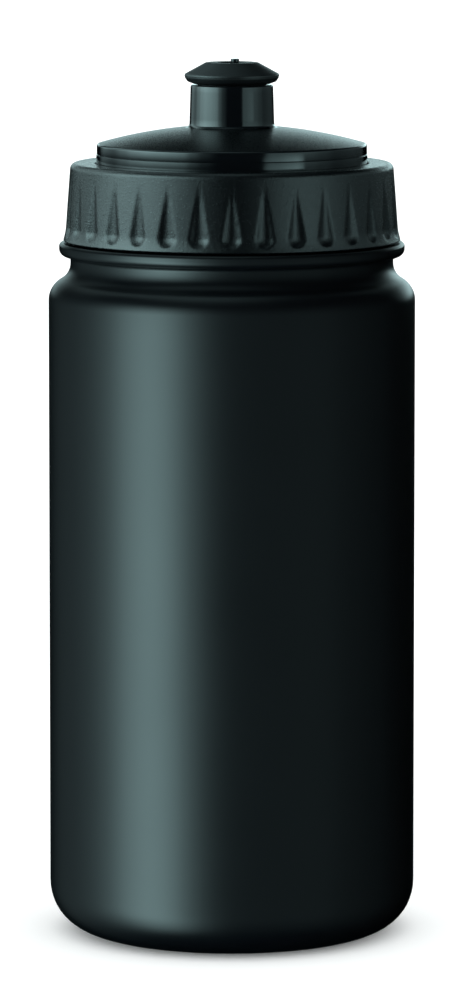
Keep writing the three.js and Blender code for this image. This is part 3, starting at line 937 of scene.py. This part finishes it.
def pin_spokes(lid, top, material):
    """The spokes that carry the pin: each is a bar out along a radius, whose section is a
    superellipse of power four, turned to its own share of a full turn."""
    sides, stations = 24, 9
    around = np.arange(sides) * (2 * math.pi / sides)
    squared = lambda wave: np.sign(wave) * np.sqrt(np.abs(wave))
    across = lid.spoke_width / 2 * squared(np.cos(around))
    rise = top - lid.spoke_height / 2 + lid.spoke_height / 2 * squared(np.sin(around))
    out = np.linspace(lid.pin_shank / 2, lid.stem_radius - lid.stem_wall / 2, stations)
    bar = np.stack(np.broadcast_arrays(out[:, None], across[None, :], rise[None, :]), axis=-1)
    turns = np.arange(lid.spokes) * (2 * math.pi / lid.spokes) + math.pi / 2
    cosine, sine = np.cos(turns)[:, None, None], np.sin(turns)[:, None, None]
    x = bar[None, ..., 0] * cosine - bar[None, ..., 1] * sine
    y = bar[None, ..., 0] * sine + bar[None, ..., 1] * cosine
    z = np.broadcast_to(bar[None, ..., 2], x.shape)
    ends = np.stack([out[[0, -1]], [0, 0], [top - lid.spoke_height / 2] * 2], axis=1)
    count = stations * sides
    one_bar, one_caps = band_quads(stations, sides, closed=False), end_fans(stations, sides)
    points = []
    for turn, bar_x, bar_y, bar_z in zip(turns, x, y, z):
        side = np.stack([bar_x, bar_y, bar_z], axis=-1).reshape(-1, 3)
        tips = np.stack([ends[:, 0] * math.cos(turn), ends[:, 0] * math.sin(turn), ends[:, 2]], axis=1)
        points.append(np.concatenate([side, tips]))
    steps = (np.arange(lid.spokes) * (count + 2))[:, None, None]
    quads = (one_bar[None] + steps).reshape(-1, 4)
    triangles = (one_caps[None] + steps).reshape(-1, 3)
    return mesh_piece("pin_spokes", np.concatenate(points), quads, triangles, material)


class BuildSeal(bpy.types.Operator):
    """Build the flat seal ring between the bottle's lip and the lid"""

    bl_idname = "squeeze_bottle.seal"
    bl_label = "Seal ring"

    def execute(self, context):
        scene = context.scene
        sizes = scene.bottle_sizes
        bore = sizes.neck_radius - sizes.neck_wall
        middle = (bore + SEAL_RADIUS) / 2
        corners = [
            (middle, SEAL_BOTTOM),
            (SEAL_RADIUS, SEAL_BOTTOM, 0.2 * MM),
            (SEAL_RADIUS, SEAL_TOP, 0.2 * MM),
            (bore, SEAL_TOP, 0.2 * MM),
            (bore, SEAL_BOTTOM, 0.2 * MM),
        ]
        material = seal_rubber(scene.bottle_finishes)
        ring = turned("seal_ring_soft", ring_path(corners, 0.5 * MM), whole_turn(256), material)
        put(ring, "lid", "seal_rubber", "seal_ring")
        return {"FINISHED"}


class BuildMouthpiece(bpy.types.Operator):
    """Build the push-pull mouthpiece"""

    bl_idname = "squeeze_bottle.mouthpiece"
    bl_label = "Mouthpiece"

    def execute(self, context):
        scene = context.scene
        lid, mouth = scene.lid_sizes, scene.mouthpiece_sizes
        stem_bore = lid.stem_radius - lid.stem_wall
        nozzle = stem_bore - lid.stem_lip - mouth.stem_gap
        bead = stem_bore - mouth.bead_gap
        bore = nozzle - mouth.nozzle_wall
        hole = lid.pin_tip + mouth.hole_clearance
        seat = stem_foot(scene) + lid.stem_height + mouth.bead_gap
        widest = seat + mouth.rim_height
        bead_high = NOZZLE_BOTTOM + mouth.bead_height
        rim = HEAD_RADIUS - mouth.flash
        roof = HEAD_TOP - mouth.top_thickness
        corners = [
            (bore, roof - (bore - hole) - 1 * MM),
            (bore, NOZZLE_BOTTOM, 0.2 * MM),
            (bead, NOZZLE_BOTTOM, 0.3 * MM),
            (bead, bead_high, 0.15 * MM),
            (nozzle, bead_high + bead - nozzle, 0.2 * MM),
            (nozzle, seat, 0.2 * MM),
            (stem_bore + mouth.seat_width, seat, 0.25 * MM),
            (rim - 0.55 * MM, seat + 0.42 * MM, 0.7 * MM),
            (rim, widest - 0.35 * MM, 0.6 * MM),
            (rim, widest - 0.05 * MM, 0.03 * MM),
            (HEAD_RADIUS, widest, 0.02 * MM),
            (HEAD_RADIUS, widest + 0.09 * MM, 0.04 * MM),
            (rim + 0.04 * MM, widest + 0.4 * MM, 0.35 * MM),
            (mouth.crown_radius, HEAD_TOP, 1.1 * MM),
            (mouth.crown_radius - 1.0 * MM, HEAD_TOP - 0.02 * MM),
            (hole, HEAD_TOP - 0.05 * MM, 0.3 * MM),
            (hole, roof, 0.2 * MM),
            (bore, roof - (bore - hole), 0.3 * MM),
        ]
        material = soft_mouthpiece(scene.bottle_finishes)
        shell = turned("mouthpiece_shell", ring_path(corners, 0.7 * MM), whole_turn(192), material)
        put(shell, "spout", "soft_black_mouthpiece", "mouthpiece")
        return {"FINISHED"}


# ---------------------------------------------------------------- studio


class BuildStage(bpy.types.Operator):
    """Build the floor, the softboxes and the camera"""

    bl_idname = "squeeze_bottle.stage"
    bl_label = "Studio"

    def execute(self, context):
        scene = context.scene
        studio = scene.bottle_studio
        add_camera(scene, studio)
        add_floor()
        add_sky(scene, studio)
        add_softboxes(studio)
        scene.view_settings.view_transform = "Standard"
        return {"FINISHED"}


def add_camera(scene, studio):
    """The camera stands on the front side and looks along +Y, pitched down."""
    data = bpy.data.cameras.new("studio_camera")
    data.lens = studio.camera_lens
    data.sensor_width = 36
    camera = bpy.data.objects.new("studio_camera", data)
    scene.collection.objects.link(camera)
    camera.location = (studio.camera_side, -studio.camera_distance, studio.camera_height)
    camera.rotation_euler = (math.pi / 2 - studio.camera_pitch, 0, 0)
    data.clip_start, data.clip_end = 0.01, 20
    scene.camera = camera


def add_floor():
    """A wide pale floor with a slight glow, so that only the shadow right under the bottle shows.
    Reflections and the softboxes' light pass through it."""
    half = 3.0
    corners = np.array([[-half, -half, 0], [half, -half, 0], [half, half, 0], [-half, half, 0]])
    nodes = Nodes("pale_floor")
    material = nodes.finish(
        Base_Color=(0.90, 0.90, 0.90, 1.0), Roughness=0.9, Specular_IOR_Level=0.0,
        Emission_Color=(1.0, 1.0, 1.0, 1.0), Emission_Strength=0.1,
    )
    face, no_triangles = np.array([[0, 1, 2, 3]]), np.zeros((0, 3), int)
    floor = mesh_piece("studio_floor", corners, face, no_triangles, material)
    floor.visible_glossy = False
    floor.visible_shadow = False


# A light's stops are degrees round from the camera's side and radiance there. Its window opens
# between its first two elevations in degrees and closes between its last two.
COOL = (0.71, 1.0, 1.02)
SOFT_WHITE = (0.97, 1.0, 1.0)
LEFT_BANK = (
    (-150, 0.4), (-138, 1.3), (-120, 1.1), (-104, 2.9), (-92, 5.0), (-78, 6.2), (-62, 5.5), (-50, 4.5),
    (-42, 3.6), (-34, 1.4), (-24, 0.4), (-13, 0.05),
)
LEFT_HIGH = ((-166, 0.2), (-156, 0.7), (-140, 0.8), (-120, 0.2))
RIGHT_STRIP = ((25, 0.0), (29, 1.0), (40, 1.4), (50, 2.1), (57, 2.6), (62, 1.6), (64, 0.0))
RIGHT_FILL = ((27, 0.0), (32, 1.0), (50, 1.2), (68, 1.0), (84, 0.6), (98, 0.3), (116, 0.3),
              (148, 0.15))
BODY_LIGHT = (
    (-150, 0.04), (-120, 0.18), (-100, 0.42), (-82, 1.15), (-66, 3.9), (-52, 5.6), (-40, 4.5), (-28, 1.6),
    (-16, 0.4), (-5, 0.14), (60, 0.19), (75, 0.10), (103, 0.045), (121, 0.01), (140, 0.0),
)
BACK_RIGHT = ((150, 0.0), (164, 0.25), (176, 0.25), (180, 0.1))
BODY_HIGH = ((-180, 0.3), (-150, 0.4), (-110, 0.2))
BODY_HIGH_RIGHT = ((120, 0.04), (150, 0.12), (180, 0.3))
BACKDROP_WINDOW = (0.5, 3.0, 5.0, 19.0)
BACK_RIGHT_WINDOW = (3.0, 8.0, 18.0, 30.0)
BANK_WINDOW = (-4.6, 1.4, 30.0, 45.0)
HIGH_WINDOW = (24.0, 34.0, 50.0, 60.0)
STRIP_WINDOW = (-20.0, -8.0, -4.0, 1.0)
FILL_WINDOW = (-8.0, 3.0, 20.0, 32.0)
ABOVE_WINDOW = (20.0, 45.0, 60.0, 75.0)
TALL_WINDOW = (-60.0, -30.0, -6.0, 34.0)
CEILING_EDGE = (48.0, 75.0)
BACKDROP = ((-180, 1.8), (-165, 1.0), (-148, 0.0), (140, 0.0), (158, 2.4), (172, 2.4), (180, 1.8))


CAP_BOXES = (
    ("left_bank_front", (-82, -13), LEFT_BANK, BANK_WINDOW),
    ("left_bank_side", (-150, -82), LEFT_BANK, BANK_WINDOW),
    ("left_high", (-166, -120), LEFT_HIGH, HIGH_WINDOW),
    ("right_strip", (25, 64), RIGHT_STRIP, STRIP_WINDOW),
    ("right_fill_front", (27, 82), RIGHT_FILL, FILL_WINDOW),
    ("right_fill_side", (82, 148), RIGHT_FILL, FILL_WINDOW),
)
BODY_HIGH_BOXES = (
    ("body_high_left", (-180, -110), BODY_HIGH),
    ("body_high_right", (120, 180), BODY_HIGH_RIGHT),
)


def softbox_glow(wiring, azimuth, rise, stops, window):
    """The brightness of a softbox by direction: a curve round the horizon, through stops of degrees
    and radiance, times a window of elevation that opens between its first two numbers and closes
    between its last two."""
    tallest = max(height for _, height in stops)
    first, last = stops[0][0], stops[-1][0]
    place = wiring.between(azimuth, math.radians(first), math.radians(last), 0.0, 1.0)
    around = wiring.ramp(place, [((turn - first) / (last - first), height) for turn, height in stops],
                         tallest)
    opening = wiring.between(rise, window[0], window[1], 0.0, 1.0)
    closing = wiring.between(rise, window[2], window[3], 1.0, 0.0)
    return wiring.maths("MULTIPLY", around, wiring.maths("MULTIPLY", opening, closing))


def directions(wiring, vector):
    """Azimuth in radians, from the camera's side and positive to the right, and elevation in
    degrees, of a vector out from the bottle."""
    parts = wiring.add("ShaderNodeSeparateXYZ", Vector=vector)
    x, y, z = (parts.outputs[axis] for axis in "XYZ")
    azimuth = wiring.maths("ARCTAN2", x, wiring.maths("MULTIPLY", y, -1.0))
    level = wiring.level_length(x, y)
    rise = wiring.maths("MULTIPLY", wiring.maths("ARCTAN2", z, level), 180 / math.pi)
    return x, azimuth, rise


def add_sky(scene, studio):
    """The room round the bottle. The picture and all soft light see even white. Reflections see
    the backdrop behind and a dim ceiling that is brighter on the left."""
    world = bpy.data.worlds.new("studio_sky")
    world.use_nodes = True
    wiring = Wiring(world.node_tree)
    background = world.node_tree.nodes["Background"]
    outward = wiring.add("ShaderNodeTexCoord").outputs["Generated"]
    x, azimuth, rise = directions(wiring, outward)
    back = softbox_glow(wiring, azimuth, rise, BACKDROP, BACKDROP_WINDOW)
    back_right = softbox_glow(wiring, azimuth, rise, BACK_RIGHT, BACK_RIGHT_WINDOW)
    lean = wiring.between(x, -0.5, 0.35, 0.8, 0.05)
    ceiling = wiring.maths("MULTIPLY", wiring.between(rise, *CEILING_EDGE, 0.0, 1.0), lean)
    total = wiring.maths("ADD", wiring.maths("ADD", back, back_right), ceiling)
    path = wiring.add("ShaderNodeLightPath")
    mirrored = wiring.maths(
        "MULTIPLY", path.outputs["Is Glossy Ray"],
        wiring.maths("SUBTRACT", 1.0, path.outputs["Is Transmission Ray"]),
    )
    drop = wiring.maths("MULTIPLY", mirrored, wiring.maths("SUBTRACT", total, studio.sky))
    wiring.feed(background.inputs["Strength"], wiring.maths("ADD", drop, studio.sky))
    tint = wiring.mix(mirrored, (*SOFT_WHITE, 1.0), (*COOL, 1.0))
    wiring.feed(background.inputs["Color"], tint)
    world.cycles.sampling_method = "NONE"
    scene.world = world


def add_softbox(name, span, stops, window, centre, distance, receivers):
    """An upright softbox that covers a span of azimuth, seen from a centre height on the axis, and
    lights only its receivers. Its width is twice the distance times the tangent of half the span."""
    first, last = span
    middle, half = math.radians((first + last) / 2), math.radians((last - first) / 2)
    low, high = (centre + distance * math.tan(math.radians(rise)) for rise in (window[0], window[3]))
    data = bpy.data.lights.new(name, "AREA")
    data.shape = "RECTANGLE"
    data.size, data.size_y = 2 * distance * math.tan(half), high - low
    data.energy = math.pi * data.size * data.size_y
    data.color = COOL
    data.use_nodes = True
    wiring = Wiring(data.node_tree)
    place = wiring.add("ShaderNodeNewGeometry").outputs["Position"]
    lowered = wiring.add("ShaderNodeVectorMath", operation="SUBTRACT")
    wiring.feed(lowered.inputs[0], place)
    wiring.feed(lowered.inputs[1], (0.0, 0.0, centre))
    _, azimuth, rise = directions(wiring, lowered.outputs[0])
    glow = softbox_glow(wiring, azimuth, rise, stops, window)
    wiring.feed(data.node_tree.nodes["Emission"].inputs["Strength"], glow)
    light = bpy.data.objects.new(name, data)
    bpy.context.scene.collection.objects.link(light)
    light.location = (distance * math.sin(middle), -distance * math.cos(middle), (low + high) / 2)
    light.rotation_euler = (math.pi / 2, 0, middle)
    light.light_linking.receiver_collection = receivers


def add_softboxes(studio):
    """The cap's softboxes are a graded bank on the left, a dim panel high behind it, and a low
    strip and a fill on the right. The bottle's go round its front, brightest on the left, with two
    dim panels high behind it."""
    far = studio.light_distance
    cap = bpy.data.collections.new(CAP_PIECES)
    body = bpy.data.collections.new(BODY_PIECES)
    for name, span, stops, window in CAP_BOXES:
        add_softbox(name, span, stops, window, COLLAR_TOP, far, cap)
    for name, span, stops in BODY_HIGH_BOXES:
        add_softbox(name, span, stops, ABOVE_WINDOW, COLLAR_BOTTOM, far, body)
    for span in ((-150, -82), (-82, -14), (-14, 60), (60, 140)):
        name = f"body_box_{span[0] + 180}"
        add_softbox(name, span, BODY_LIGHT, TALL_WINDOW, COLLAR_BOTTOM / 2, far, body)


class BottlePanel(bpy.types.Panel):
    """The pieces' buttons and sizes in the sidebar"""

    bl_idname = "VIEW3D_PT_squeeze_bottle"
    bl_label = "Squeeze Bottle"
    bl_space_type = "VIEW_3D"
    bl_region_type = "UI"
    bl_category = "Squeeze Bottle"

    def draw(self, context):
        for operator in OPERATORS:
            self.layout.operator(operator.bl_idname)
        for name, group in GROUPS.items():
            box = self.layout.box()
            box.label(text=name.replace("_", " ").capitalize())
            for field in group.__annotations__:
                box.prop(getattr(context.scene, name), field)


OPERATORS = (BuildStage, BuildBottle, BuildCollar, BuildLid, BuildSeal, BuildMouthpiece)


def register():
    for group in GROUPS.values():
        bpy.utils.register_class(group)
    for name, group in GROUPS.items():
        setattr(bpy.types.Scene, name, bpy.props.PointerProperty(type=group))
    for operator in OPERATORS:
        bpy.utils.register_class(operator)
    bpy.utils.register_class(BottlePanel)


def unregister():
    bpy.utils.unregister_class(BottlePanel)
    for operator in reversed(OPERATORS):
        bpy.utils.unregister_class(operator)
    for name in GROUPS:
        delattr(bpy.types.Scene, name)
    for group in reversed(GROUPS.values()):
        bpy.utils.unregister_class(group)


def main():
    register()
    bpy.ops.squeeze_bottle.stage()
    bpy.ops.squeeze_bottle.bottle()
    bpy.ops.squeeze_bottle.collar()
    bpy.ops.squeeze_bottle.lid()
    bpy.ops.squeeze_bottle.seal()
    bpy.ops.squeeze_bottle.mouthpiece()


if __name__ == "__main__":
    main()
